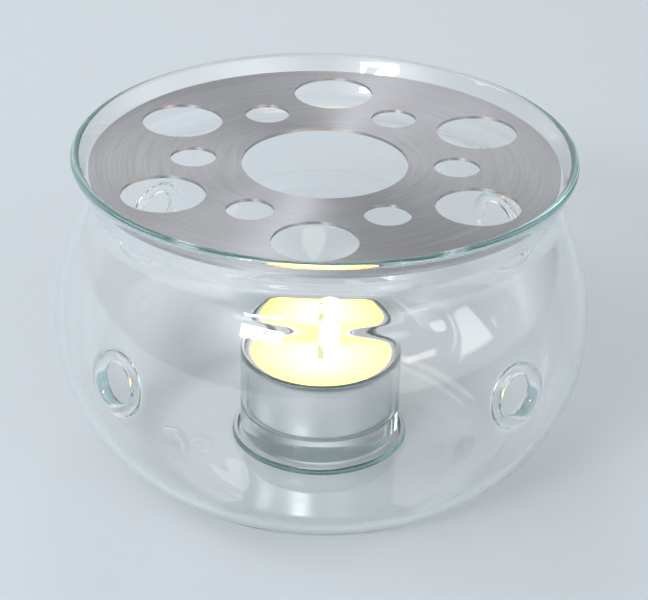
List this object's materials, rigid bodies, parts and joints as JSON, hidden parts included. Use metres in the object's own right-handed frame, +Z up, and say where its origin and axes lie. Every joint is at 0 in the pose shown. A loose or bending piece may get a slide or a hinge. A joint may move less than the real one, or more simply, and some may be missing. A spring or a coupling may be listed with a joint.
{
  "type": "glass teapot warmer",
  "caption": "Blown glass teapot warmer: a round bowl with air holes and flared rim, a loose perforated steel plate for the pot, and a glass cup with a lit tealight.",
  "frame": {"origin": "centre of the base, on the surface it stands on", "axes": "+Z up along the bowl's axis, an air hole on each of +X, +Y, -X and -Y"},
  "size_m": [0.141, 0.141, 0.087],
  "materials": {
    "borosilicate_glass": "clear blown glass, fire polished, faint green edge",
    "brushed_stainless": "circular brushing, satin",
    "cup_glass": "clear pressed glass, heavy base with a green tint",
    "aluminium_sheet": "thin drawn sheet, semi-bright",
    "paraffin_wax": "white paraffin wax, molten and lit through by the flame",
    "cotton_wick": "burnt cotton cord",
    "tinned_sheet": "thin tinned steel sheet"
  },
  "bodies": {
    "bowl": {"glass_body": "borosilicate_glass"},
    "plate": {"steel_plate": "brushed_stainless"},
    "cup": {"candle_cup": "cup_glass"},
    "tealight": {"tealight_tin": "aluminium_sheet", "candle_wax": "paraffin_wax", "wick": "cotton_wick", "wick_holder": "tinned_sheet"}
  },
  "joints": [
    {"name": "plate_lift", "type": "slide", "parent": "bowl", "child": "plate", "axis": [0, 0, 1], "range_m": [0, 0.06]},
    {"name": "cup_lift", "type": "slide", "parent": "bowl", "child": "cup", "axis": [0, 0, 1], "range_m": [0, 0.05]},
    {"name": "tealight_lift", "type": "slide", "parent": "cup", "child": "tealight", "axis": [0, 0, 1], "range_m": [0, 0.09]}
  ]
}
